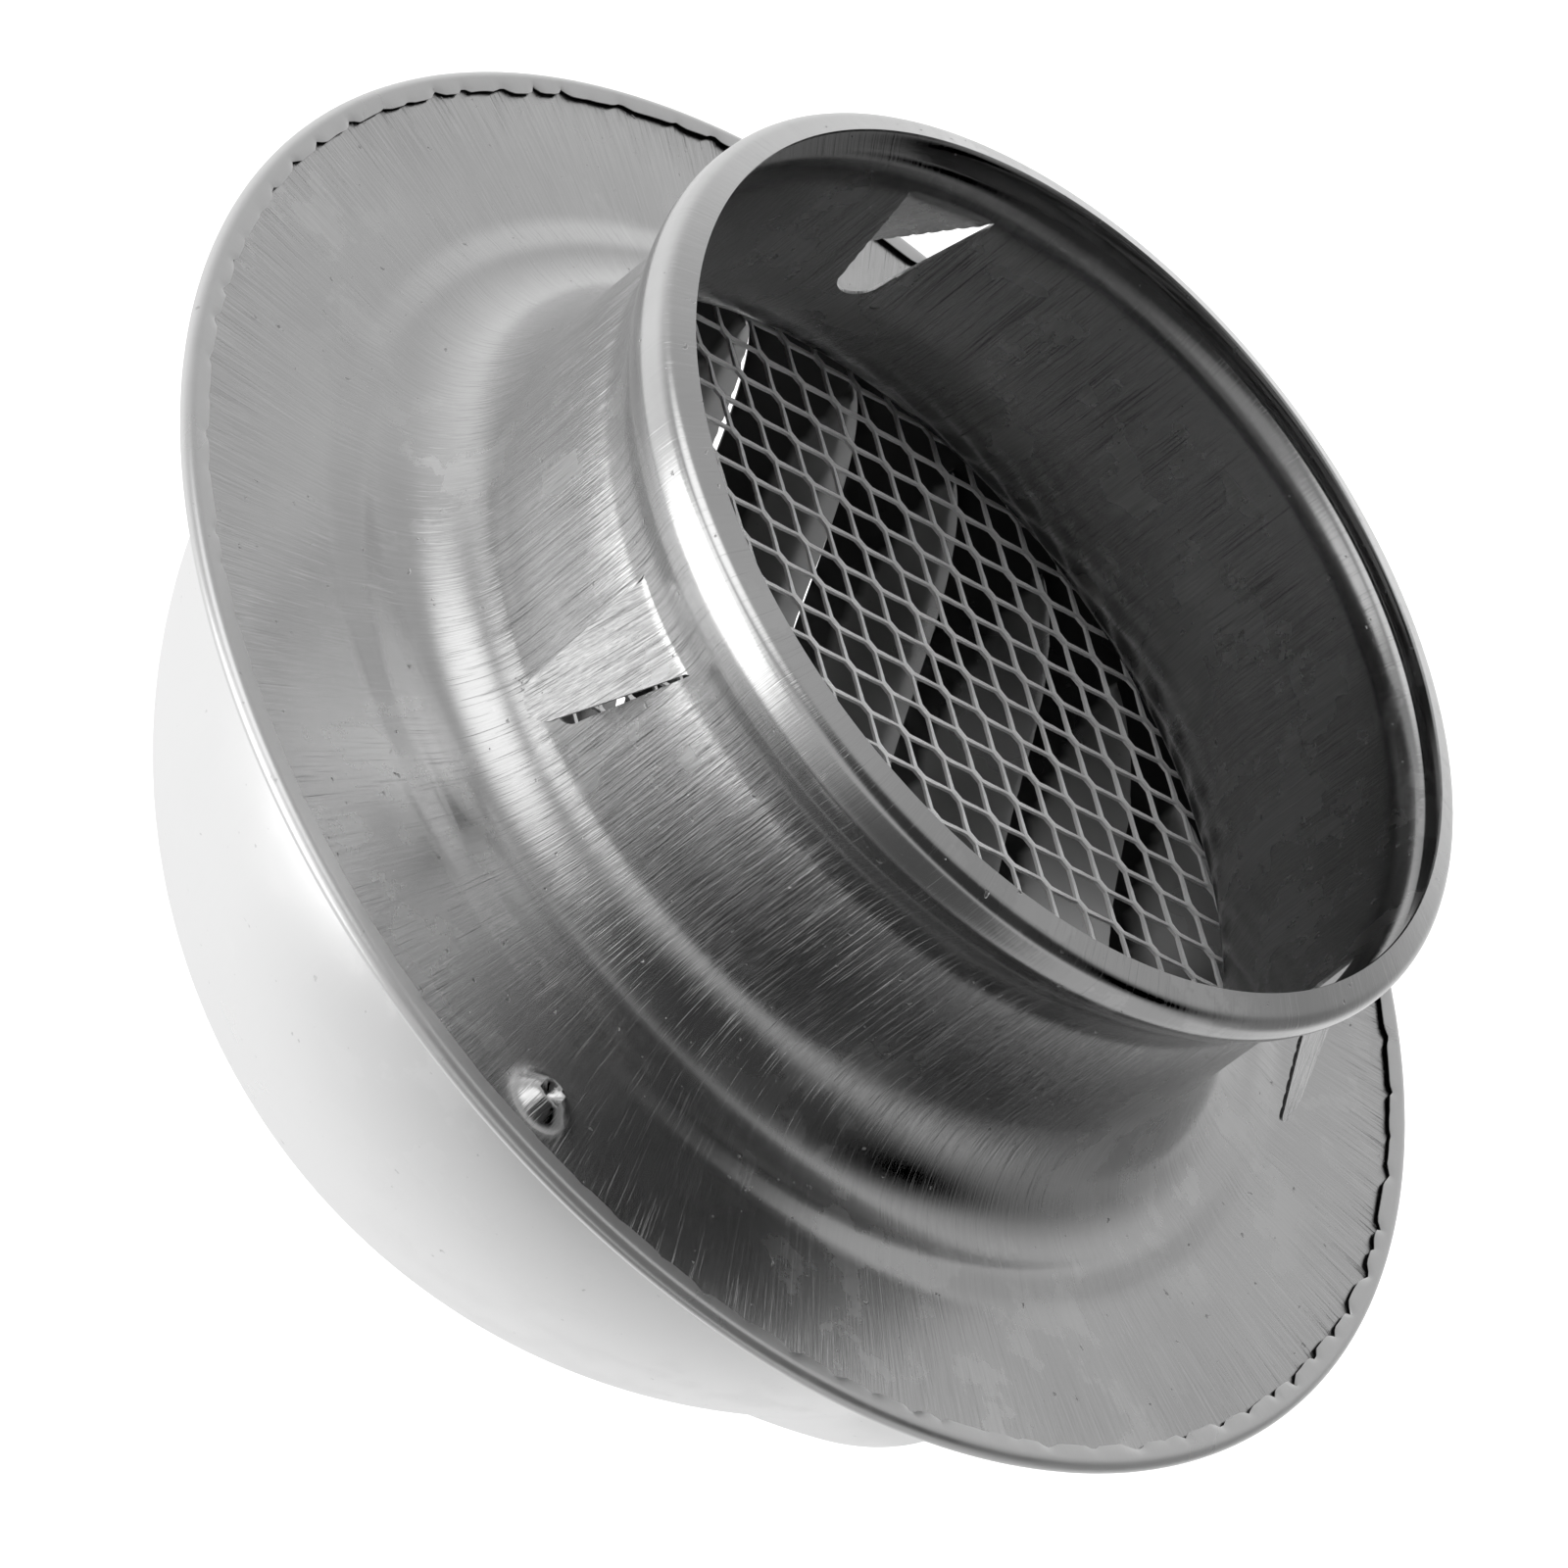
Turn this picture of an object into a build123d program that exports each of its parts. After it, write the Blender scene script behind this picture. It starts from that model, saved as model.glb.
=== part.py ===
from build123d import *
from math import asin, atan2, cos, degrees, hypot, radians, sin, sqrt, tan
import os

# Round wall vent for a 100 mm duct: a ball hood, a collar with a spigot, and an insect mesh between them.
# Frame: the axis is Y. +Y leaves the spigot, into the wall. The hood bulges to -Y. +Z is up, the louvres look down.
# The origin is on the axis, in the plane of the hem that lies against the wall.

# Sheets and the folded rim
sheet = 0.6                # thickness of the hood's and the collar's sheet
rim_radius = 75.0          # outside of the rolled hem
hem_width = 2.4            # how far the hem folds back over the collar
edge_gap = 0.1             # play between the collar's edge and the start of the roll

# Hood
ball_radius = 61.5         # outside of the ball
ball_centre_y = -0.9
foot_radius = 2.0          # outside fillet between the ball and its flange

# Louvres: gills pushed out of the ball's lower half, each open along its lower edge
louvre_folds = (10.8, 23.8, 36.4, 48.9, 60.8, 72.8)    # degrees below level, seen from the ball's centre
louvre_width = 10.2        # degrees from a gill's fold to its free edge
louvre_lift = 3.6          # how far the free edge stands out of the ball
louvre_end = 7.0           # depth in front of the ball's centre where the gills end
louvre_root = 0.8          # degrees that a gill reaches into the sheet above its fold

# Collar
neck_radius = 45.6         # outside of the spigot's straight part
neck_end_y = 24.6          # where the spigot starts to swell
bead_radius = 48.4         # outside of the swaged bead
bead_start_y = 30.8        # start and end of the bead's straight crest
bead_end_y = 33.4
mouth_radius = 46.2        # outside corner of the lip that curls in
lip_y = 35.4               # end of the spigot
step_start = 57.2          # shallow step where the flat ring ends
step_end = 55.2
step_height = 1.0
flare_radius = 6.8         # fillet between the step and the spigot
small_radius = 1.6         # fillets of the step and the lip
swell_radius = 7.0         # fillets at the two ends of the swell

# Spring tongues lanced out of the spigot, each hinged at its wide end. They are pressed by hand, so no two are alike.
# For each: degrees from +X towards +Z, hinge's y, hinge's distance from the axis, how far the tip is bent out
tongues = (
    (72.0, 23.6, 45.3, 4.6),
    (183.0, 28.6, 47.1, 6.0),
    (317.0, 27.6, 46.65, 7.6),
)
tongue_length = 15.2
tongue_width = 10.4
tongue_tip_radius = 2.2
tongue_gap = 0.3           # width of the cut round a tongue
tongue_root = 0.4          # overlap with the wall at the hinge

# Stake pushed through the ring beside the hem
stake_at = 68.0            # distance from the axis
stake_angle = 42.0         # degrees from +X towards +Z
stake_base = 2.6
stake_top = 1.5
stake_height = 1.8

# Insect mesh of expanded metal
mesh_radius = 61.8
mesh_sheet = 0.5
mesh_long = 7.9            # long way of a diamond
mesh_short = 4.85          # short way of a diamond
mesh_strand = 0.55         # width of a strand
mesh_bond = 1.5            # length of the joint between two diamonds
mesh_angle = -43.0         # degrees from +X towards +Z of the long way
mesh_border = 0.8          # solid edge left round the disc

# Planes of the folded rim, from the wall forward
plate_back_y = -sheet
plate_front_y = -2 * sheet
flange_front_y = -3 * sheet
roll_radius = 1.5 * sheet
roll_at = rim_radius - roll_radius


def ball_point(radius, angle):
    """Point of the turned section at a radius and an angle from the ball's centre."""
    return (radius * cos(angle), ball_centre_y + radius * sin(angle))


# Hood: the outer skin of the ball, foot, flange and hem, thickened inward and turned about the axis
foot_y = flange_front_y - foot_radius
foot_at = sqrt((ball_radius + foot_radius) ** 2 - (foot_y - ball_centre_y) ** 2)
foot_angle = atan2(foot_y - ball_centre_y, foot_at)
apex_angle = radians(-90)

with BuildPart() as ball:
    with BuildSketch(Plane.XY):
        with BuildLine():
            ball_skin = ThreePointArc(
                ball_point(ball_radius, apex_angle),
                ball_point(ball_radius, (apex_angle + foot_angle) / 2),
                ball_point(ball_radius, foot_angle),
            )
            foot_skin = TangentArc(ball_skin @ 1, (foot_at, flange_front_y), tangent=ball_skin % 1)
            Line(foot_skin @ 1, (roll_at, flange_front_y))
            ThreePointArc((roll_at, flange_front_y), (rim_radius, -roll_radius), (roll_at, 0))
            Line((roll_at, 0), (rim_radius - hem_width, 0))
            offset(amount=sheet, side=Side.LEFT)
        make_face()
    revolve(axis=Axis.Y)


# Louvres: a window is cut below each fold, and a gill slopes out of the ball from the fold down to a free edge
section_plane = Plane(origin=(0, ball_centre_y, 0), x_dir=(0, -1, 0), z_dir=(-1, 0, 0))
upright_axis = Axis((0, ball_centre_y, 0), (0, 0, 1))
sheet_middle = ball_radius - sheet / 2


def section_point(radius, below):
    """Point of the upright section at a radius and an angle in degrees below level."""
    return (radius * cos(radians(below)), -radius * sin(radians(below)))


with BuildPart() as louvre_zone:
    with Locations((0, ball_centre_y - louvre_end, 0)):
        Box(2 * rim_radius, rim_radius, 2 * rim_radius, align=(Align.CENTER, Align.MAX, Align.CENTER))

with BuildPart() as windows:
    for fold in louvre_folds:
        with BuildSketch(section_plane):
            Polygon(
                section_point(sheet_middle - sheet, fold),
                section_point(sheet_middle + sheet, fold),
                section_point(sheet_middle + sheet, fold + louvre_width),
                section_point(sheet_middle - sheet, fold + louvre_width),
                align=None,
            )
        revolve(axis=upright_axis)
    add(louvre_zone.part, mode=Mode.INTERSECT)

with BuildPart() as gills:
    for fold in louvre_folds:
        with BuildSketch(section_plane):
            Polygon(
                section_point(sheet_middle - sheet / 3, fold - louvre_root),
                section_point(sheet_middle + sheet / 3, fold - louvre_root),
                section_point(ball_radius + louvre_lift, fold + louvre_width),
                section_point(ball_radius + louvre_lift - sheet, fold + louvre_width),
                align=None,
            )
        revolve(axis=upright_axis)
    add(louvre_zone.part, mode=Mode.INTERSECT)

with BuildPart() as hood:
    add(ball.part)
    add(windows.part, mode=Mode.SUBTRACT)
    add(gills.part)

# Collar: the wall side of ring, step, flare, neck, bead and lip, thickened away from the wall side
plate_edge = roll_at - edge_gap

with BuildPart() as collar_blank:
    with BuildSketch(Plane.XY):
        with BuildLine():
            FilletPolyline(
                (plate_edge, plate_back_y),
                (step_start, plate_back_y),
                (step_end, plate_back_y + step_height),
                (neck_radius, plate_back_y + step_height),
                (neck_radius, neck_end_y),
                (bead_radius, bead_start_y),
                (bead_radius, bead_end_y),
                (mouth_radius, lip_y),
                radius=(small_radius, small_radius, flare_radius, swell_radius, swell_radius, small_radius),
            )
            offset(amount=sheet, side=Side.LEFT)
        make_face()
    revolve(axis=Axis.Y)

outline_plane = Plane.YZ.offset(neck_radius / 2)
outline_depth = neck_radius


def lanced_outline(hinge_y, gap):
    """Prism over the outline of a tongue at +X, with a gap all round except at the hinge."""
    with BuildPart() as prism:
        with BuildSketch(outline_plane):
            with Locations((hinge_y - tongue_length + tongue_tip_radius, 0)):
                Circle(tongue_tip_radius + gap)
            with Locations((hinge_y, 0)):
                Rectangle(tongue_root, tongue_width + 2 * gap, align=(Align.MAX, Align.CENTER))
            make_hull()
        extrude(amount=outline_depth)
    return prism.part


def tongue_and_cut(angle, hinge_y, hinge_radius, lift):
    """Bent tongue, and the cut that frees it, at an angle round the axis."""
    blank = lanced_outline(hinge_y + tongue_root, 0) & collar_blank.part
    hinge = Axis((hinge_radius, hinge_y, 0), (0, 0, 1))
    bent = blank.rotate(hinge, degrees(asin(lift / tongue_length)))
    cut = lanced_outline(hinge_y, tongue_gap)
    return bent.rotate(Axis.Y, -angle), cut.rotate(Axis.Y, -angle)


# Stake: a pierced cone pushed towards the wall
stake_x = stake_at * cos(radians(stake_angle))
stake_z = stake_at * sin(radians(stake_angle))
stake_plane = Plane(origin=(stake_x, plate_front_y, stake_z), x_dir=(1, 0, 0), z_dir=(0, 1, 0))

with BuildPart() as collar:
    add(collar_blank.part)
    for angle, hinge_y, hinge_radius, lift in tongues:
        bent_tongue, tongue_cut = tongue_and_cut(angle, hinge_y, hinge_radius, lift)
        add(tongue_cut, mode=Mode.SUBTRACT)
        add(bent_tongue)
    with BuildSketch(stake_plane):
        Circle(stake_base + sheet)
    with BuildSketch(stake_plane.offset(sheet + stake_height)):
        Circle(stake_top)
    loft()
    with BuildSketch(stake_plane):
        Circle(stake_base)
    with BuildSketch(stake_plane.offset(sheet + stake_height)):
        Circle(stake_top - sheet)
    loft(mode=Mode.SUBTRACT)

# Mesh: one sheet, slit and drawn into rows of diamonds. Every second row is shifted by half a diamond.
along = Vector(cos(radians(mesh_angle)), 0, sin(radians(mesh_angle)))
mesh_plane = Plane(origin=(0, plate_front_y, 0), x_dir=along, z_dir=(0, -1, 0))
hole_half_short = (mesh_short - mesh_strand) / 2
strand_slope = atan2(mesh_short / 2, mesh_long / 2 - mesh_bond)
strand_reach = mesh_strand / 2 / sin(strand_slope)
hole_half_long = (mesh_long - mesh_bond) / 2 - strand_reach
hole_half_flat = mesh_bond / 2 - strand_reach + mesh_strand / 2 / tan(strand_slope)


def diamond(x, y):
    """Opening with pointed ends, and flats along the joints with the next rows."""
    return Polygon(
        (x - hole_half_long, y),
        (x - hole_half_flat, y - hole_half_short),
        (x + hole_half_flat, y - hole_half_short),
        (x + hole_half_long, y),
        (x + hole_half_flat, y + hole_half_short),
        (x - hole_half_flat, y + hole_half_short),
        align=None,
    )


rows = int(mesh_radius / mesh_short) + 1
columns = int(mesh_radius / mesh_long) + 1
openings = []
for row in range(-2 * rows, 2 * rows + 1):
    for column in range(-columns, columns + 1):
        hole_x = (column + (row % 2) / 2) * mesh_long
        hole_y = row * mesh_short / 2
        if hypot(abs(hole_x) + hole_half_flat, hole_y) + hole_half_short < mesh_radius - mesh_border:
            openings.append(diamond(hole_x, hole_y).face().outer_wire())

disc = Circle(mesh_radius).face().outer_wire()
with BuildPart() as insect_mesh:
    with BuildSketch(mesh_plane):
        add(Face(disc, openings))
    extrude(amount=mesh_sheet)

os.makedirs("parts", exist_ok=True)
for name, piece in (("hood", hood), ("collar", collar), ("insect_mesh", insect_mesh)):
    piece.part.label = name
    export_step(piece.part, f"parts/{name}.step")
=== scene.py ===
"""Looks of a round stainless wall vent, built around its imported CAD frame.

The vent's axis is Y: the spigot points to +Y, the ball hood to -Y, and the louvres look down to -Z.
Lengths are in millimetres inside the mesh code and are scaled to metres when a mesh is made.
"""

import math

import bmesh
import bpy
import numpy as np
from mathutils import Matrix, Vector, noise
from mathutils.geometry import delaunay_2d_cdt


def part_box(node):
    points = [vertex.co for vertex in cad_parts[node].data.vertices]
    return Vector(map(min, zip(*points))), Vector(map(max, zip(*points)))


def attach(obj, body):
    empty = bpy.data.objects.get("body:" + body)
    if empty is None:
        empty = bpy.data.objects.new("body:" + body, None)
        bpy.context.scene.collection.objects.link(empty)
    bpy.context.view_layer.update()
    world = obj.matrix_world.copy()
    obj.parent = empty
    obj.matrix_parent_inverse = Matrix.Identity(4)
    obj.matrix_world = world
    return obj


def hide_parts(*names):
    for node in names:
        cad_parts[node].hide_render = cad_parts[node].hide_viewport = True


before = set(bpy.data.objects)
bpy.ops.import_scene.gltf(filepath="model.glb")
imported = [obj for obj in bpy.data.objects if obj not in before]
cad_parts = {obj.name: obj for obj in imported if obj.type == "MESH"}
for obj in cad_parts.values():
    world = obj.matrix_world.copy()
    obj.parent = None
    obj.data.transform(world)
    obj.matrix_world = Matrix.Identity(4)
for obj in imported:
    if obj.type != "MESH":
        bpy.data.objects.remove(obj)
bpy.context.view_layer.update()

MM = 0.001
TURN = 2 * math.pi

# ---------------------------------------------------------------- sizes, from the frame
_, hood_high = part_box("hood")
_, collar_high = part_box("collar")
mesh_low, mesh_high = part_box("insect_mesh")
RIM = hood_high.x / MM                     # outside of the rolled hem
LIP_Y = collar_high.y / MM                 # end of the spigot
MESH_RADIUS = mesh_high.x / MM - 0.3
MESH_Y = (mesh_low.y + mesh_high.y) / 2 / MM

# Sheets and the folded rim
SHEET = 0.6
PLATE_BACK = -SHEET                        # wall side of the collar's ring
FLANGE_FRONT = -3 * SHEET
ROLL = 1.5 * SHEET
HEM_WIDTH = 2.4
EDGE_GAP = 0.1                             # play between the collar's edge and the roll

# Ball and its foot
BALL = 61.5                                # outside of the ball
BALL_Y = -0.9
FOOT = 2.0                                 # fillet at the foot of the ball

# Louvres, each a gill that is open along its lower edge
LOUVRE_CREASES = (10.8, 23.8, 36.4, 48.9, 60.8, 72.8)   # degrees below level, at the fold of each gill
LOUVRE_WIDTH = math.radians(10.2)          # from a gill's fold to its cut edge
LOUVRE_END = 7.0                           # depth in front of the ball's centre where a gill ends
LOUVRE_LIFT = 3.6
LOUVRE_SOFT = 1.4                          # how gently the sheet bends at a fold
GILL_INNER_SHADING = 0.72                       # how much of the inside's painted shade a gill's inner face gets

# Shallow step of the ring, and the spigot
STEP_OUTER = 58.3
STEP_INNER = 55.3
STEP_HEIGHT = 0.75
NECK = 45.6
SWELL_Y = 24.9                             # where the neck starts to swell into the bead
BEAD = 48.35
BEAD_START_Y = 29.9
BEAD_END_Y = 34.1
MOUTH = 45.7                               # inner edge of the lip that curls in

# How the upper spigot is pressed askew, together with its tongues
SKEW_RISE = 2.7                            # mean rise, and how much it swings round the axis
SKEW_SWING = 3.2
SKEW_LOW = math.radians(65)                # where it is lowest
SKEW_FOOT = (1.0, 8.0)                     # y over which it sets in, and y over which it fades out again
SKEW_HEAD = (33.3, 26.7)

# Spring tongues lanced out of the neck
TONGUES = ((72.0, 4.6), (183.0, 6.0), (317.0, 7.6))     # degrees from +X towards +Z, and the tip's lift
TONGUE_HINGE_Y = 23.9
TONGUE_LENGTH = 15.2
TONGUE_HALF = 5.2
TONGUE_TIP = 2.2
TONGUE_SLIM = 0.945                        # width that the lancing tool leaves of a tongue
TONGUE_SOFT = 0.6                          # how gently the sheet bends at the hinge
TONGUE_STRETCH = 1.04                      # makes up for the lift lost to the soft bend
TONGUE_FLAT = 4.0                          # distance from the hinge at which a tongue is flat across

# Stake beside the hem
STAKE_AT = 68.0
STAKE_ANGLE = 42.0
STAKE_HEIGHT = 1.9
STAKE_TOP = 1.1                            # radius of its top, and how far its flank falls beyond that
STAKE_FLANK = 1.3
STAKE_PIT = 1.6                            # depth and radius of the pierced point in its top
STAKE_PIT_RADIUS = 0.75
STAKE_REACH = 5.0

# Insect mesh
MESH_LONG = 7.9
MESH_SHORT = 4.85
MESH_BOND = 1.3
MESH_ANGLE = math.radians(-43.0)
STRAND_WIDE = 0.40
STRAND_DEEP = 0.34
STRAND_BEND = 0.5                          # radius of a strand's corners

# Fineness of the meshes
SEGMENTS = 720                             # points round the axis
ARC = TURN / SEGMENTS * NECK               # distance between them on the neck
PROFILE_STEP = 0.35
STRAND_STEP = 0.6
COARSEST_TURN = 0.2                        # radians between two points of a rounded corner
PATCH_COLUMNS = 20                         # half the width of the patch of mesh round a tongue
PATCH_MARGIN = 0.9                         # and how far it reaches past the tongue
CUT_CLEAR = 0.3                            # nearest that a grid point comes to a tongue's cut line
BALL_STEP = 1.15
FOLD_ANGLE = math.radians(35)              # edges sharper than this stay crisp
STRAND_FOLD_ANGLE = math.radians(50)


# ---------------------------------------------------------------- small geometry tools
def unit(v):
    return np.asarray(v, float) / np.linalg.norm(v)


def ramp(value, start, end):
    return np.clip((value - start) / (end - start), 0, 1)


def rounded(points, radii, step):
    """Polyline with rounded inner corners, sampled about every step. radii has one value per inner corner."""
    pts = [np.array(p, float) for p in points]
    path = [pts[0]]
    for before, corner, after, radius in zip(pts, pts[1:], pts[2:], radii):
        to_before, to_after = unit(before - corner), unit(after - corner)
        half = math.acos(np.clip(to_before @ to_after, -1, 1)) / 2
        trim = radius / math.tan(half)
        centre = corner + unit(to_before + to_after) * radius / math.sin(half)
        first, last = corner + to_before * trim, corner + to_after * trim
        sweep = math.pi - 2 * half
        count = max(3, int(sweep * radius / step) + 1, int(sweep / COARSEST_TURN) + 1)
        arm = first - centre
        side = 1 if np.cross(arm, last - first) > 0 else -1
        for k in range(count + 1):
            a = side * sweep * k / count
            turn = np.array([[math.cos(a), -math.sin(a)], [math.sin(a), math.cos(a)]])
            path.append(centre + turn @ arm)
    path.append(pts[-1])
    fine = [path[0]]
    for a, b in zip(path, path[1:]):
        length = np.linalg.norm(b - a)
        if length < 1e-6:
            continue
        parts = max(1, math.ceil(length / step))
        fine += [a + (b - a) * k / parts for k in range(1, parts + 1)]
    return np.array(fine)


def turned(r, y, angle):
    """Point at a radius, height and angle (from +X towards +Z) about the vent's axis."""
    return np.stack([r * np.cos(angle), y + 0 * angle, r * np.sin(angle)], axis=-1)


def make_object(name, verts, faces):
    """Mesh object from points in millimetres."""
    mesh = bpy.data.meshes.new(name)
    mesh.from_pydata((np.asarray(verts) * MM).tolist(), [], [tuple(map(int, f)) for f in faces])
    mesh.validate()
    obj = bpy.data.objects.new(name, mesh)
    bpy.context.scene.collection.objects.link(obj)
    return obj


def thicken(obj, inner_shading):
    """Gives a single skin its sheet thickness, on the side away from its normals.

    The second argument says, for each point, how much painted shade its other face gets, from 0 to 1: colour
    darkened to stand in for the shade inside the vent.
    """
    skin = len(obj.data.vertices)
    modifier = obj.modifiers.new("sheet", "SOLIDIFY")
    modifier.thickness = SHEET * MM
    modifier.offset = -1
    modifier.use_even_offset = True
    modifier.thickness_clamp = 1.2
    graph = bpy.context.evaluated_depsgraph_get()
    graph.update()
    single = obj.data
    obj.data = bpy.data.meshes.new_from_object(obj.evaluated_get(graph))
    obj.modifiers.clear()
    bpy.data.meshes.remove(single)
    # the other face's share of painted shade is kept as the attribute 'inner', which the materials read
    inner = obj.data.attributes.new("inner", "FLOAT", "POINT")
    inner.data.foreach_set("value", [0.0] * skin + [float(value) for value in inner_shading])


def smooth_shade(obj, fold_angle):
    """Smooth shading, with the edges over the fold angle kept crisp."""
    bm = bmesh.new()
    bm.from_mesh(obj.data)
    for edge in bm.edges:
        edge.smooth = len(edge.link_faces) == 2 and edge.calc_face_angle(0) < fold_angle
    for face in bm.faces:
        face.smooth = True
    bm.to_mesh(obj.data)
    bm.free()


def soft_run(run, softness):
    """Length of a run that starts gently, as a sheet does at a fold."""
    return math.sqrt(run**2 + softness**2) - softness


def ripple(angle, seed, scale):
    """Smooth random value from -1 to 1 that closes on itself round the axis."""
    return noise.noise((math.cos(angle) * scale, math.sin(angle) * scale, seed))


def triangulated(flat, edges):
    """Triangles over flat points that keep the given edges: points, triangles and each point's old index."""
    points, _, triangles, sources, _, _ = delaunay_2d_cdt([Vector(p) for p in flat], edges, [], 1, 1e-5)
    if len(points) != len(flat):
        raise RuntimeError("two edges cross, or a point lies on an edge")
    return points, triangles, [source[0] for source in sources]


def split_cuts(verts, faces, cut_edges):
    """Opens a mesh along cut edges, so that its two sides can part: points, faces and each point's origin."""
    bm = bmesh.new()
    tag = bm.verts.layers.int.new("origin")
    made = [bm.verts.new(v) for v in verts]
    for k, v in enumerate(made):
        v[tag] = k
    for f in faces:
        bm.faces.new([made[k] for k in f])
    cuts = [bm.edges.get((made[a], made[b])) for a, b in cut_edges]
    bmesh.ops.split_edges(bm, edges=[e for e in cuts if e])
    bm.verts.index_update()
    points = np.array([v.co for v in bm.verts])
    origin = np.array([v[tag] for v in bm.verts])
    polys = [[v.index for v in f.verts] for f in bm.faces]
    bm.free()
    return points, polys, origin


def share_inside(points, polys, test):
    """For each point, the share of the faces round it whose middles pass a test."""
    inside = np.zeros(len(points))
    count = np.zeros(len(points))
    for poly in polys:
        inside[poly] += bool(test(points[poly].mean(0)))
        count[poly] += 1
    return inside / np.maximum(count, 1)


# ---------------------------------------------------------------- collar
def collar_profile():
    """Wall side of the collar from its edge in the hem to the lip, as (radius, y)."""
    points = [
        (RIM - ROLL - EDGE_GAP, PLATE_BACK),
        (STEP_OUTER, PLATE_BACK),
        (STEP_INNER, PLATE_BACK + STEP_HEIGHT),
        (NECK, PLATE_BACK + STEP_HEIGHT),
        (NECK, SWELL_Y),
        (BEAD + 0.4, BEAD_START_Y),
        (BEAD + 0.2, BEAD_END_Y),
        (MOUTH, LIP_Y - 0.15),
    ]
    return rounded(points, (6.5, 5.0, 8.8, 9.0, 7.0, 1.5), PROFILE_STEP)


def tongue_half_width(along):
    """Half the tongue's width at a distance from its hinge, before it is bent."""
    tip_centre = TONGUE_LENGTH - TONGUE_TIP
    if along <= tip_centre:
        return TONGUE_HALF + (TONGUE_TIP - TONGUE_HALF) * along / tip_centre
    return math.sqrt(max(TONGUE_TIP**2 - (along - tip_centre) ** 2, 0))


def tongue_outline():
    """The lanced line of a tongue on the flat neck, from one end of its hinge round the tip to the other."""
    tip_centre = TONGUE_LENGTH - TONGUE_TIP
    side = [(tongue_half_width(tip_centre * k / 30), tip_centre * k / 30) for k in range(30)]
    tip = [
        (TONGUE_TIP * math.cos(a), tip_centre + TONGUE_TIP * math.sin(a))
        for a in np.linspace(0, math.pi, 17)
    ]
    outline = side + tip + [(-across, along) for across, along in reversed(side)]
    return np.array([(across, TONGUE_HINGE_Y - along) for across, along in outline])


def grid_point(row, column):
    """Index of a point in the collar's turned grid."""
    return row * SEGMENTS + column % SEGMENTS


def patch_rows(profile):
    """First and last row of the grid that the patches round the tongues replace."""
    low_y = TONGUE_HINGE_Y - TONGUE_LENGTH - PATCH_MARGIN
    high_y = TONGUE_HINGE_Y + PATCH_MARGIN
    rows = [k for k, (r, y) in enumerate(profile) if r < BEAD and low_y < y < high_y]
    return rows[0], rows[-1]


def patch_border(low_row, high_row):
    """Grid points round a patch in order, as (row, column from the tongue's middle)."""
    half = PATCH_COLUMNS
    border = [(low_row, column) for column in range(-half, half)]
    border += [(row, half) for row in range(low_row, high_row)]
    border += [(high_row, column) for column in range(half, -half, -1)]
    border += [(row, -half) for row in range(high_row, low_row, -1)]
    return border


def tongue_patch(profile, middle, outline, first_new):
    """Faces round a tongue's cut line, and the cut's edges. The line's points have indices from first_new."""
    low_row, high_row = patch_rows(profile)
    places = patch_border(low_row, high_row)
    border_count = len(places)
    cut_end = border_count + len(outline)
    flat = [(column * ARC, profile[row][1]) for row, column in places]
    keys = [grid_point(row, middle + column) for row, column in places]
    flat += [tuple(p) for p in outline]
    keys += range(first_new, first_new + len(outline))
    for row in range(low_row + 1, high_row):
        for column in range(-PATCH_COLUMNS + 1, PATCH_COLUMNS):
            p = np.array((column * ARC, profile[row][1]))
            if np.min(np.hypot(*(outline - p).T)) > CUT_CLEAR:
                flat.append(tuple(p))
                keys.append(grid_point(row, middle + column))
    border = [(k, (k + 1) % border_count) for k in range(border_count)]
    cuts = [(k, k + 1) for k in range(border_count, cut_end - 1)]
    _, triangles, sources = triangulated(flat, border + cuts)
    back = [keys[source] for source in sources]
    # the flat patch runs (angle, y) and the grid's faces run (y, angle), so its faces are turned over
    faces = [tuple(back[k] for k in reversed(triangle)) for triangle in triangles]
    return faces, [(keys[a], keys[b]) for a, b in cuts]


def collar_skin():
    """The collar's wall side with its tongues cut but not bent: points, faces and cut edges."""
    profile = collar_profile()
    ring = TURN * np.arange(SEGMENTS) / SEGMENTS
    grid = np.concatenate([turned(r, y, ring) for r, y in profile])
    middles = [round(angle / 360 * SEGMENTS) for angle, _ in TONGUES]
    low_row, high_row = patch_rows(profile)
    patched = {
        (row, column % SEGMENTS)
        for middle in middles
        for row in range(low_row, high_row)
        for column in range(middle - PATCH_COLUMNS, middle + PATCH_COLUMNS)
    }
    faces = []
    for row in range(len(profile) - 1):
        for column in range(SEGMENTS):
            if (row, column) not in patched:
                corners = ((row, column), (row + 1, column), (row + 1, column + 1), (row, column + 1))
                faces.append(tuple(grid_point(*corner) for corner in corners))
    neck = profile[(profile[:, 0] < BEAD) & (profile[:, 1] < BEAD_START_Y)]
    outline = tongue_outline()
    cut_edges = []
    cut_points = []
    for middle in middles:
        patch, cuts = tongue_patch(profile, middle, outline, len(grid) + len(cut_points))
        faces += patch
        cut_edges += cuts
        for across, y in outline:
            radius = float(np.interp(y, neck[:, 1], neck[:, 0]))
            cut_points.append(turned(radius, y, np.array(TURN * middle / SEGMENTS + across / NECK)))
    return np.concatenate([grid, np.array(cut_points)]), faces, cut_edges


def tongue_at(p):
    """The tongue a point of the neck is beside, as (across, along, the tongue's angle, its lift), or None."""
    angle = math.atan2(p[2], p[0])
    for degrees, lift in TONGUES:
        middle = math.radians(degrees)
        off = (angle - middle + math.pi) % TURN - math.pi
        if abs(off) * NECK < TONGUE_HALF + 0.1:
            return off * NECK, TONGUE_HINGE_Y - p[1], middle, lift
    return None


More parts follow.
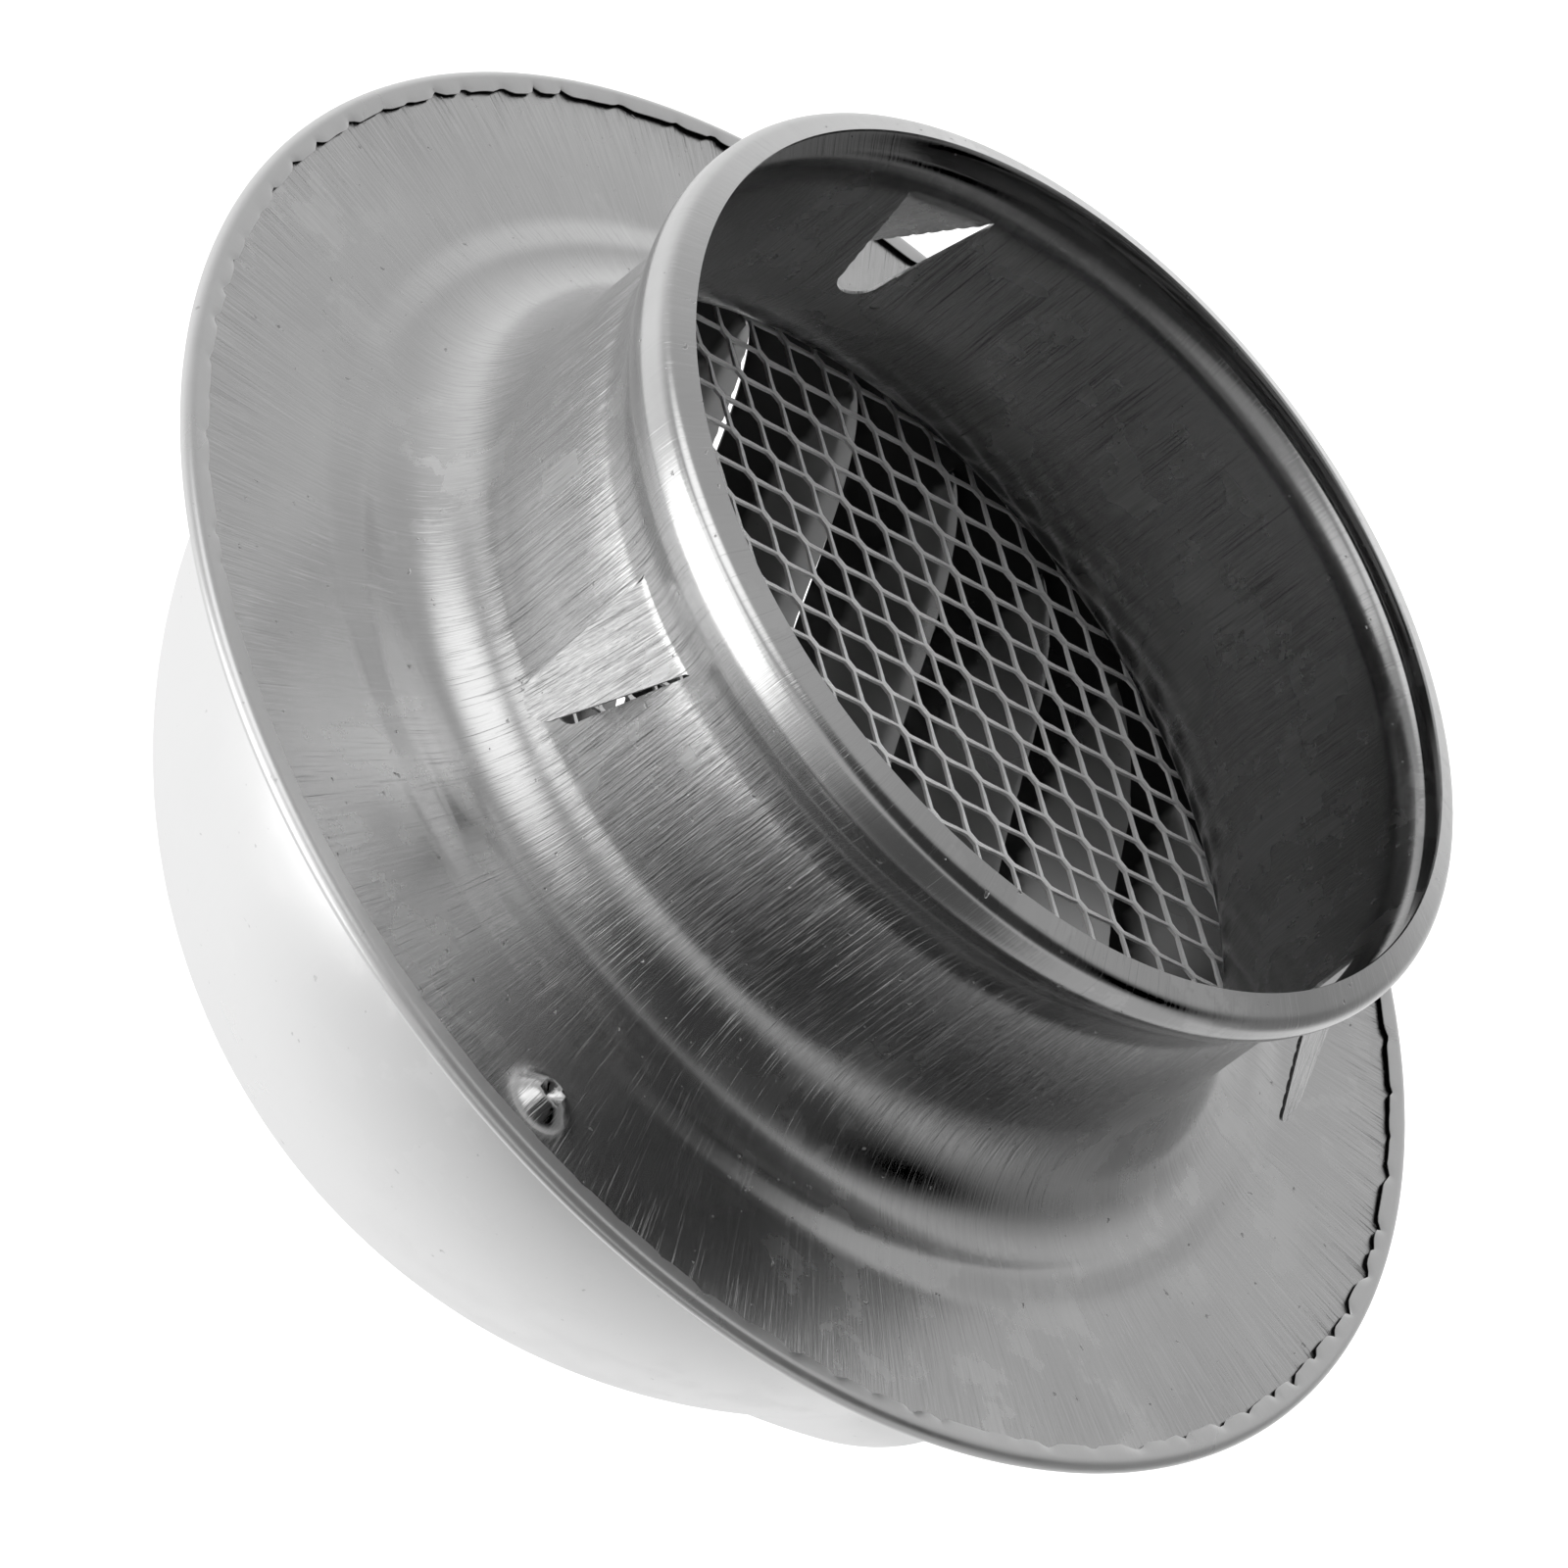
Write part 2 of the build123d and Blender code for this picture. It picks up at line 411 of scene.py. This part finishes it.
def in_tongue(p):
    found = tongue_at(p)
    if not found or not 0 < found[1] < TONGUE_LENGTH or math.hypot(p[0], p[2]) < NECK - 0.5:
        return False
    return abs(found[0]) < tongue_half_width(found[1])


def bend_tongues(verts, faces):
    """Bends the tongues out about their hinges, flattened across and a little slimmer than their holes."""
    inside = share_inside(verts, faces, in_tongue)
    for k in np.nonzero(inside > 0.5)[0]:
        across, along, middle, lift = tongue_at(verts[k])
        bend = math.asin(lift / TONGUE_LENGTH)
        out = TONGUE_STRETCH * math.sin(bend) * soft_run(along, TONGUE_SOFT)
        flatten = (NECK - math.sqrt(NECK**2 - across**2)) * min(1, along / TONGUE_FLAT)
        radius = math.hypot(verts[k][0], verts[k][2]) + out + flatten
        y = verts[k][1] + along * (1 - math.cos(bend))
        verts[k] = turned(radius, y, np.array(middle + TONGUE_SLIM * across / NECK))


def press_stake(verts):
    """Pushes a pierced dimple out of the ring, towards the wall."""
    at = turned(STAKE_AT, 0.0, np.array(math.radians(STAKE_ANGLE)))
    far = np.hypot(verts[:, 0] - at[0], verts[:, 2] - at[2])
    plate = (far < STAKE_REACH) & (verts[:, 1] < 1)
    dome = STAKE_HEIGHT * np.exp(-((np.maximum(far[plate] - STAKE_TOP, 0) / STAKE_FLANK) ** 2))
    verts[plate, 1] += dome - STAKE_PIT * np.exp(-((far[plate] / STAKE_PIT_RADIUS) ** 2))


def skew(verts):
    """Lifts the upper spigot askew: most on the side away from SKEW_LOW, not at all at the lip or the ring."""
    y = verts[:, 1]
    angle = np.arctan2(verts[:, 2], verts[:, 0])
    rise = SKEW_RISE - SKEW_SWING * np.cos(angle - SKEW_LOW)
    foot = ramp(y, *SKEW_FOOT)
    foot = foot * foot * (3 - 2 * foot)
    verts[:, 1] = y + rise * np.minimum(foot, ramp(y, *SKEW_HEAD))


def build_collar():
    verts, faces, cut_edges = collar_skin()
    verts, faces, _ = split_cuts(verts, faces, cut_edges)
    bend_tongues(verts, faces)
    press_stake(verts)
    skew(verts)
    obj = make_object("collar_shell", verts, faces)
    # the collar's whole inner face takes painted shade
    thicken(obj, np.ones(len(verts)))
    smooth_shade(obj, FOLD_ANGLE)
    return obj


# ---------------------------------------------------------------- hood
def ball_point(theta, alpha, out=0.0):
    """Point on the ball: theta below level, alpha from straight ahead towards +X, both in radians."""
    reach = (BALL + out) * np.cos(theta)
    z = -(BALL + out) * np.sin(theta)
    return np.stack([reach * np.sin(alpha), BALL_Y - reach * np.cos(alpha), z], axis=-1)


def louvre_reach(crease):
    """Half angle of the gill's fold, seen from above."""
    return math.acos(LOUVRE_END / (BALL * math.cos(crease)))


def louvre_open(crease, alpha):
    """Angle from the gill's fold to its cut edge."""
    share = min(abs(alpha) / louvre_reach(crease), 1.0)
    return LOUVRE_WIDTH * (1 - share**5) ** 0.75


def ball_chart(point):
    """Flat chart of the ball: distance along the ball from its front, in the point's direction."""
    x, y, z = point[..., 0], point[..., 1] - BALL_Y, point[..., 2]
    across = np.hypot(x, z)
    polar = np.arctan2(across, -y)
    scale = BALL * polar / np.maximum(across, 1e-9)
    return np.stack([x * scale, z * scale], axis=-1)


def from_chart(flat):
    polar = np.hypot(flat[..., 0], flat[..., 1]) / BALL
    across = np.sinc(polar / math.pi)      # sin(polar) / polar
    return np.stack([flat[..., 0] * across, BALL_Y - BALL * np.cos(polar), flat[..., 1] * across], axis=-1)


def gill_cut_line(crease):
    """Cut edge of a gill in the ball's chart, from one end to the other."""
    reach = louvre_reach(crease)
    count = max(24, int(2 * reach * BALL * math.cos(crease) / 0.9))
    alphas = reach * np.sin(np.linspace(-math.pi / 2, math.pi / 2, count + 1))
    return [ball_chart(ball_point(crease + louvre_open(crease, alpha), alpha)) for alpha in alphas]


def ball_grid(limit, cut_points):
    """Even triangular grid in the ball's chart, out to a limit and clear of the cut lines."""
    row_height = BALL_STEP * math.sqrt(3) / 2
    rows = int(limit / row_height) + 1
    grid = []
    for row in range(-rows, rows + 1):
        for column in range(-rows - 2, rows + 3):
            p = np.array(((column + (row % 2) / 2) * BALL_STEP, row * row_height))
            beside_cut = p[1] < 2 and np.min(np.abs(cut_points - p).sum(1)) < 0.5
            if np.hypot(*p) <= limit and not beside_cut:
                grid.append(tuple(p))
    return grid


def ball_skin(edge_polar):
    """Outer skin of the ball, opened along the gills' cut edges: points, faces and the ring at its foot."""
    ring = TURN * np.arange(SEGMENTS) / SEGMENTS
    edge = BALL * edge_polar
    flat = [(edge * math.cos(a), edge * math.sin(a)) for a in ring]
    border = [(k, (k + 1) % SEGMENTS) for k in range(SEGMENTS)]
    cuts = []
    for degrees in LOUVRE_CREASES:
        line = gill_cut_line(math.radians(degrees))
        cuts += [(len(flat) + k, len(flat) + k + 1) for k in range(len(line) - 1)]
        flat += [tuple(p) for p in line]
    flat += ball_grid(edge - 0.6, np.array(flat[SEGMENTS:]))
    points, faces, sources = triangulated(flat, border + cuts)
    chart = np.array([(*point, 0.0) for point in points])
    place = {source: k for k, source in enumerate(sources)}
    chart, faces, origin = split_cuts(chart, faces, [(place[a], place[b]) for a, b in cuts])
    foot = [int(np.nonzero(origin == place[k])[0][0]) for k in range(SEGMENTS)]
    return from_chart(chart[:, :2]), faces, foot


def gill_at(p):
    """The gill a point of the ball lies in, as (fold, alpha, angle below the fold, opening), or None."""
    theta = math.asin(np.clip(-p[2] / BALL, -1, 1))
    alpha = math.atan2(p[0], BALL_Y - p[1])
    for degrees in LOUVRE_CREASES:
        crease = math.radians(degrees)
        if abs(alpha) < louvre_reach(crease):
            opening = louvre_open(crease, alpha)
            if -1e-4 < theta - crease < opening + 1e-4 and opening > 1e-4:
                return crease, alpha, theta - crease, opening
    return None


def push_gills(sphere, faces):
    """Pushes the gills out of the ball. Returns the points, and how much painted shade each one's inner face
    gets.
    """
    inside = share_inside(sphere, faces, gill_at)
    verts = sphere.copy()
    inner_shading = np.ones(len(sphere))
    for k in np.nonzero(sphere[:, 2] <= -5)[0]:
        found = gill_at(sphere[k])
        if not found:
            continue
        crease, alpha, depth, opening = found
        # a point on the cut line belongs to the gill only if its own faces do
        if opening - depth < 2e-3 and inside[k] < 0.5:
            continue
        lift = LOUVRE_LIFT * (opening / LOUVRE_WIDTH) ** 0.6
        rise = lift * soft_run(depth * BALL, LOUVRE_SOFT) / soft_run(opening * BALL, LOUVRE_SOFT)
        verts[k] = ball_point(crease + depth, alpha, rise)
        # a gill's inner face takes less painted shade than the rest of the ball's inside
        inner_shading[k] = GILL_INNER_SHADING
    return verts, inner_shading


def hem_wear(angle):
    """How badly the hem is crimped at an angle, from 0 to 1: two long stretches of it are the worst."""
    stretches = [math.cos(angle - math.radians(at)) for at in (155, 330)]
    return 0.15 + 0.85 * max(0.0, *stretches) ** 1.5


def hem_notch(angle):
    """Depth from 0 to 1 of the small folds that the crimping leaves along the hem's free edge."""
    place = angle / TURN * 96 + 0.7 * ripple(angle, 4.4, 9.0)
    near = 1 - abs(place % 1 - 0.5) / 0.2
    size = 0.55 + 0.9 * noise.noise((math.floor(place) * 1.7, 2.2, 0.4))
    return max(0.0, near) * max(0.0, min(1.0, size))


def hem_wander(angle):
    """How much wider than nominal the folded hem is at an angle."""
    slow = 0.2 * ripple(angle, 3.1, 4.0)
    bite = ripple(angle, 5.3, 15.0)
    return slow + hem_wear(angle) * (0.35 * bite - 1.0 * hem_notch(angle))


def hem_lift(angle):
    """How far the hem's free edge is pressed down at an angle."""
    return hem_wear(angle) * (0.12 * (1 + ripple(angle, 7.7, 13.0)) + 0.25 * hem_notch(angle))


def hem_ring(share, ring):
    """Ring of points in the hem, at a share of its width from the roll to the free edge."""
    width = [HEM_WIDTH - ROLL + hem_wander(a) for a in ring]
    press = [max(0.0, hem_lift(a)) for a in ring]
    y = -0.02 * share - np.array(press) * share**2
    return turned(RIM - ROLL - np.array(width) * share, y, ring)


def flange_section(foot_at, foot_y, foot_angle):
    """Section of the hood from the ball's foot over the flange to the end of the roll, as (radius, y)."""
    start = foot_angle + math.pi
    fillet = [start + (math.pi / 2 - start) * k / 8 for k in range(1, 9)]
    section = [(foot_at + FOOT * math.cos(a), foot_y + FOOT * math.sin(a)) for a in fillet]
    section += [(foot_at + (RIM - ROLL - foot_at) * k / 12, FLANGE_FRONT) for k in range(1, 13)]
    section += [
        (RIM - ROLL + ROLL * math.sin(a), -ROLL - ROLL * math.cos(a))
        for a in np.linspace(0, math.pi, 15)[1:]
    ]
    return section


def build_hood():
    foot_y = FLANGE_FRONT - FOOT
    foot_at = math.sqrt((BALL + FOOT) ** 2 - (foot_y - BALL_Y) ** 2)
    foot_angle = math.atan2(foot_y - BALL_Y, foot_at)
    sphere, faces, last_ring = ball_skin(math.pi / 2 + foot_angle)
    ball, inner_shading = push_gills(sphere, faces)

    ring = TURN * np.arange(SEGMENTS) / SEGMENTS
    rings = [turned(r, y, ring) for r, y in flange_section(foot_at, foot_y, foot_angle)]
    rings += [hem_ring(share, ring) for share in np.linspace(0, 1, 9)[1:]]
    for number in range(len(rings)):
        first = len(ball) + number * SEGMENTS
        new_ring = range(first, first + SEGMENTS)
        for k in range(SEGMENTS):
            after = (k + 1) % SEGMENTS
            faces.append((last_ring[k], new_ring[k], new_ring[after], last_ring[after]))
        last_ring = new_ring
    verts = np.concatenate([ball, *rings])
    obj = make_object("hood_shell", verts, faces)
    # inner faces take painted shade: in full inside the ball and behind the flange, less on the gills
    thicken(obj, np.concatenate([inner_shading, np.ones(len(verts) - len(ball))]))
    smooth_shade(obj, FOLD_ANGLE)
    return obj


# ---------------------------------------------------------------- insect mesh
def strand_line(row):
    """Centre line of a zigzag strand in the mesh's plane. It meets its neighbours along flat bonds."""
    low, high = row * MESH_SHORT / 2, (row + 1) * MESH_SHORT / 2
    columns = int(MESH_RADIUS / MESH_LONG) + 2
    corners = []
    for k in range(-2 * columns, 2 * columns + 1):
        x = k * MESH_LONG / 2
        v = high - STRAND_WIDE / 2 if (k + row) % 2 == 0 else low + STRAND_WIDE / 2
        corners += [(x - MESH_BOND / 2, v), (x + MESH_BOND / 2, v)]
    line = rounded(corners, [STRAND_BEND] * (len(corners) - 2), STRAND_STEP)
    return np.array([p for p in line if np.hypot(*p) < MESH_RADIUS - 0.3])


def strand_verts(line, row):
    """Four corner points round each point of a strand, which twists and varies a little along its length."""
    along = np.array([math.cos(MESH_ANGLE), 0, math.sin(MESH_ANGLE)])
    across = np.array([-math.sin(MESH_ANGLE), 0, math.cos(MESH_ANGLE)])
    tangent = np.gradient(line, axis=0)
    tangent /= np.linalg.norm(tangent, axis=1)[:, None]
    side = np.column_stack([-tangent[:, 1], tangent[:, 0]])
    verts = []
    for p, sideways in zip(line, side):
        jitter = 0.05 * noise.noise((p[0] * 0.9, p[1] * 0.9, row * 1.7))
        swing = 0.07 * math.cos(math.pi * (p[1] / (MESH_SHORT / 2) - row))
        half = STRAND_WIDE / 2 * (1 + 0.18 * noise.noise((p[0] * 1.3, p[1] * 1.3, 8.8)))
        for s, d in ((-1, -1), (1, -1), (1, 1), (-1, 1)):
            x, v = p + sideways * (s * half + jitter)
            y = MESH_Y + d * STRAND_DEEP / 2 + swing * s * 0.5 + swing * 0.4
            verts.append(along * x + across * v + np.array([0, y, 0]))
    return verts


def build_mesh():
    """Expanded sheet: rows of zigzag strands, closed at both ends."""
    rows = int(MESH_RADIUS / (MESH_SHORT / 2)) + 1
    verts, faces = [], []
    for row in range(-rows, rows):
        line = strand_line(row)
        if len(line) < 4:
            continue
        start, end = len(verts), len(verts) + 4 * (len(line) - 1)
        verts += strand_verts(line, row)
        for a in range(start, end, 4):
            for c in range(4):
                n = (c + 1) % 4
                faces.append((a + c, a + n, a + 4 + n, a + 4 + c))
        faces.append(tuple(start + c for c in (3, 2, 1, 0)))
        faces.append(tuple(end + c for c in (0, 1, 2, 3)))
    obj = make_object("insect_mesh_strands", verts, faces)
    smooth_shade(obj, STRAND_FOLD_ANGLE)
    return obj


# ---------------------------------------------------------------- materials
# Where the sheet's finish changes, as (start, end) in metres: along the axis, and away from it
BRUSH_STARTS = (0.003, 0.008)
BRUSH_ENDS = (0.0225, 0.0315)
RIM_BRUSH = (0.064, 0.073)
RIM_TONE = (0.066, 0.070)


class Nodes:
    """Short way to add and link shader nodes."""

    def __init__(self, name):
        self.material = bpy.data.materials.new(name)
        self.material.use_nodes = True
        self.tree = self.material.node_tree
        self.shader = self.tree.nodes["Principled BSDF"]

    def add(self, kind, **settings):
        node = self.tree.nodes.new(kind)
        for key, value in settings.items():
            setattr(node, key, value)
        return node

    def link(self, a, b):
        self.tree.links.new(a, b)

    def math(self, operation, *values):
        node = self.add("ShaderNodeMath", operation=operation)
        for socket, value in zip(node.inputs, values):
            if isinstance(value, (int, float)):
                socket.default_value = value
            else:
                self.link(value, socket)
        return node.outputs[0]

    def total(self, *values):
        result = values[0]
        for value in values[1:]:
            result = self.math("ADD", result, value)
        return result

    def span(self, value, low, high, to_low, to_high):
        """Maps low..high onto to_low..to_high, and holds the ends beyond them."""
        node = self.add("ShaderNodeMapRange")
        node.inputs["From Min"].default_value = low
        node.inputs["From Max"].default_value = high
        node.inputs["To Min"].default_value = to_low
        node.inputs["To Max"].default_value = to_high
        self.link(value, node.inputs["Value"])
        return node.outputs["Result"]

    def noise(self, vector, scale, detail, roughness):
        node = self.add("ShaderNodeTexNoise")
        node.inputs["Scale"].default_value = scale
        node.inputs["Detail"].default_value = detail
        node.inputs["Roughness"].default_value = roughness
        self.link(vector, node.inputs["Vector"])
        return node.outputs["Fac"]

    def turned_place(self):
        """The point itself, its angle round the axis, its distance from the axis and its place along it."""
        position = self.add("ShaderNodeTexCoord").outputs["Object"]
        parts = self.add("ShaderNodeSeparateXYZ")
        self.link(position, parts.inputs[0])
        x, y, z = parts.outputs
        squares = self.math("ADD", self.math("MULTIPLY", x, x), self.math("MULTIPLY", z, z))
        return position, self.math("ARCTAN2", z, x), self.math("SQRT", squares), y

    def strokes(self, angle, section, per_radian, per_metre, detail, roughness):
        """Noise in strokes along the turned sheet's section, so many to a radian and to a metre."""
        place = self.add("ShaderNodeCombineXYZ")
        self.link(self.math("MULTIPLY", angle, per_radian), place.inputs[0])
        self.link(self.math("MULTIPLY", section, per_metre), place.inputs[1])
        return self.noise(place.outputs[0], 1.0, detail, roughness)


def steel(name, tone, rough, brush, mottle, inner_tone, rim_tone, spread, shine):
    """Stainless sheet: brush strokes along the section, cloudy stains and small pits.

    The strokes are strongest on the spigot's neck and faint on its bead and on flat parts. inner_tone darkens
    the inner side as painted shade, and rim_tone darkens the rim. spread is how far highlights stretch round
    the axis.
    """
    n = Nodes(name)
    position, angle, radius, y = n.turned_place()
    section = n.math("SUBTRACT", radius, y)
    on_neck = n.math("MULTIPLY", n.span(y, *BRUSH_STARTS, 0.2, 1.0), n.span(y, *BRUSH_ENDS, 1.0, 0.12))
    worn = n.math("ADD", on_neck, n.span(radius, *RIM_BRUSH, 0.0, 0.35))
    strokes = n.strokes(angle, section, 170.0, 110.0, 3.0, 0.65)
    strokes = n.math("MULTIPLY", n.math("SUBTRACT", strokes, 0.5), worn)
    scratches = n.strokes(angle, section, 260.0, 60.0, 2.0, 0.7)
    scratches = n.math("MULTIPLY", n.span(scratches, 0.6, 0.7, 0.0, 1.0), worn)
    cloud = n.noise(position, 38.0, 4.0, 0.55)
    stain = n.span(n.noise(position, 150.0, 5.0, 0.6), 0.54, 0.57, 0.0, 1.0)
    stained_areas = n.span(n.noise(position, 22.0, 2.0, 0.5), 0.45, 0.6, 0.0, 1.0)
    stain = n.math("MULTIPLY", stain, stained_areas)
    pits = n.span(n.noise(position, 900.0, 2.0, 0.5), 0.73, 0.78, 0.0, 1.0)

    value = n.total(
        n.math("ADD", n.math("MULTIPLY", strokes, brush * 0.8), tone),
        n.span(cloud, 0.35, 0.65, -mottle * 0.5, mottle * 0.5),
        n.math("MULTIPLY", stain, mottle),
        n.math("MULTIPLY", pits, -0.18),
        n.math("MULTIPLY", scratches, -brush * 0.15),
    )
    # painted shade: the inner faces, inside the ball and the spigot, are darkened in colour to stand in for
    # their shade
    inner = n.add("ShaderNodeAttribute", attribute_name="inner").outputs["Fac"]
    value = n.math("MULTIPLY", value, n.span(inner, 0.0, 1.0, 1.0, inner_tone))
    value = n.math("MULTIPLY", value, n.span(radius, *RIM_TONE, 1.0, rim_tone))
    value = n.math("MAXIMUM", value, 0.02)
    colour = n.add("ShaderNodeCombineColor")
    for channel in range(3):
        n.link(value, colour.inputs[channel])
    n.link(colour.outputs[0], n.shader.inputs["Base Color"])

    n.shader.inputs["Metallic"].default_value = shine
    n.shader.inputs["Anisotropic"].default_value = spread
    tangent = n.add("ShaderNodeTangent", direction_type="RADIAL", axis="Y")
    n.link(tangent.outputs[0], n.shader.inputs["Tangent"])
    roughness = n.total(
        n.span(y, *BRUSH_ENDS, 0.0, -0.05),
        n.span(cloud, 0.3, 0.7, rough - 0.04, rough + 0.04),
        n.math("MULTIPLY", stain, 0.06),
        n.math("MULTIPLY", pits, 0.2),
    )
    n.link(roughness, n.shader.inputs["Roughness"])
    height = n.total(
        n.math("MULTIPLY", strokes, 1.6),
        n.math("MULTIPLY", scratches, -0.8),
        n.math("MULTIPLY", pits, -0.6),
    )
    bump = n.add("ShaderNodeBump")
    bump.inputs["Strength"].default_value = brush
    bump.inputs["Distance"].default_value = 0.00012
    n.link(height, bump.inputs["Height"])
    n.link(bump.outputs[0], n.shader.inputs["Normal"])
    return n.material


def dress(obj, material, node):
    obj.data.materials.clear()
    obj.data.materials.append(material)
    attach(obj, "root")
    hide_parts(node)


# ---------------------------------------------------------------- stage
VIEW_RIGHT = Vector((0.1766, 0.656, -0.734)).normalized()
VIEW_BACK = Vector((0.531, 0.564, 0.632)).normalized()
VIEW_UP = VIEW_BACK.cross(VIEW_RIGHT)
DISTANCE = 0.9352
SHIFT_RIGHT = 0.00352
SHIFT_UP = 0.00322
LENS = 231.4
SENSOR = 36.0

FLOOR_Z = -0.32
FLOOR_HALF = 4.0
OVERHEAD_Z = 2.2

# The studio round the vent, as soft panels: direction in the picture's right, up and back, the half angles
# where a panel starts to fade and where it ends, and how much light it adds to the room.
ROOM = 0.45
PANELS = (
    ((-0.35, 0.25, -0.90), 35, 90, 0.45),
    ((-0.97, -0.03, 0.20), 8, 27, 2.2),
    ((-0.05, 0.72, 0.69), 10, 32, 1.0),
    ((-0.75, 0.23, 0.61), 8, 26, 0.9),
    ((0.60, -0.25, 0.75), 30, 54, -0.41),
    ((-0.40, -0.88, 0.28), 8, 32, -0.36),
    ((0.85, -0.35, -0.25), 12, 45, -0.24),
)


def toward(right, up, back):
    """Direction given in the picture's own right, up and back."""
    return (VIEW_RIGHT * right + VIEW_UP * up + VIEW_BACK * back).normalized()


def panel_light(tree, direction, facing, inner, outer, gain):
    """Light of one soft panel in the direction that is looked in."""
    dot = tree.nodes.new("ShaderNodeVectorMath")
    dot.operation = "DOT_PRODUCT"
    dot.inputs[1].default_value = toward(*facing)
    tree.links.new(direction, dot.inputs[0])
    soft = tree.nodes.new("ShaderNodeMapRange")
    soft.interpolation_type = "SMOOTHSTEP"
    soft.inputs["From Min"].default_value = math.cos(math.radians(outer))
    soft.inputs["From Max"].default_value = math.cos(math.radians(inner))
    soft.inputs["To Max"].default_value = gain
    tree.links.new(dot.outputs["Value"], soft.inputs["Value"])
    return soft.outputs["Result"]


def build_world():
    """The room and its panels, as the steel sees them. The camera sees plain white behind the vent."""
    world = bpy.data.worlds.new("studio")
    bpy.context.scene.world = world
    world.use_nodes = True
    tree = world.node_tree
    background = tree.nodes["Background"]
    background.inputs["Color"].default_value = (1, 1, 1, 1)
    direction = tree.nodes.new("ShaderNodeTexCoord").outputs["Generated"]
    light = None
    for panel in PANELS:
        joined = tree.nodes.new("ShaderNodeMath")
        tree.links.new(panel_light(tree, direction, *panel), joined.inputs[0])
        if light is None:
            joined.inputs[1].default_value = ROOM
        else:
            tree.links.new(light, joined.inputs[1])
        light = joined.outputs[0]
    seen = tree.nodes.new("ShaderNodeLightPath").outputs["Is Camera Ray"]
    backdrop = tree.nodes.new("ShaderNodeMix")
    backdrop.inputs["B"].default_value = 1.0
    tree.links.new(seen, backdrop.inputs["Factor"])
    tree.links.new(light, backdrop.inputs["A"])
    tree.links.new(backdrop.outputs["Result"], background.inputs["Strength"])


def build_floor():
    """Pale floor that the steel doesn't reflect, under a broad soft light."""
    n = Nodes("floor_white")
    n.shader.inputs["Base Color"].default_value = (0.95, 0.95, 0.95, 1)
    n.shader.inputs["Roughness"].default_value = 0.9
    half = FLOOR_HALF
    mesh = bpy.data.meshes.new("floor")
    corners = [(x, y, FLOOR_Z) for x, y in ((-half, -half), (half, -half), (half, half), (-half, half))]
    mesh.from_pydata(corners, [], [(0, 1, 2, 3)])
    mesh.materials.append(n.material)
    floor = bpy.data.objects.new("floor", mesh)
    floor.visible_glossy = False
    bpy.context.scene.collection.objects.link(floor)

    lamp = bpy.data.lights.new("overhead", "AREA")
    lamp.shape = "DISK"
    lamp.size = 3.0
    lamp.energy = 60
    overhead = bpy.data.objects.new("overhead", lamp)
    overhead.location = (0, 0, OVERHEAD_Z)
    overhead.visible_camera = False
    overhead.visible_glossy = False
    bpy.context.scene.collection.objects.link(overhead)


def build_camera():
    data = bpy.data.cameras.new("camera")
    data.lens = LENS
    data.sensor_width = SENSOR
    data.clip_start = 0.01
    data.clip_end = 50
    camera = bpy.data.objects.new("camera", data)
    turn = Matrix((VIEW_RIGHT, VIEW_UP, VIEW_BACK)).transposed().to_4x4()
    place = VIEW_BACK * DISTANCE - VIEW_RIGHT * SHIFT_RIGHT - VIEW_UP * SHIFT_UP
    camera.matrix_world = Matrix.Translation(place) @ turn
    bpy.context.scene.collection.objects.link(camera)
    bpy.context.scene.camera = camera


build_camera()
build_world()
build_floor()
bpy.context.scene.view_settings.view_transform = "Standard"

# The inner faces are darkened as painted shade: the hood's nearly to black, the collar's less.
collar_steel = steel(
    "collar_steel", tone=0.66, rough=0.24, brush=0.6, mottle=0.08,
    inner_tone=0.62, rim_tone=1.0, spread=0.6, shine=1.0,
)
hood_steel = steel(
    "hood_steel", tone=0.84, rough=0.3, brush=0.08, mottle=0.02,
    inner_tone=0.1, rim_tone=0.8, spread=0.0, shine=0.85,
)
mesh_metal = steel(
    "mesh_metal", tone=0.97, rough=0.35, brush=0.1, mottle=0.03,
    inner_tone=1.0, rim_tone=1.0, spread=0.0, shine=0.2,
)
dress(build_collar(), collar_steel, "collar")
dress(build_hood(), hood_steel, "hood")
dress(build_mesh(), mesh_metal, "insect_mesh")
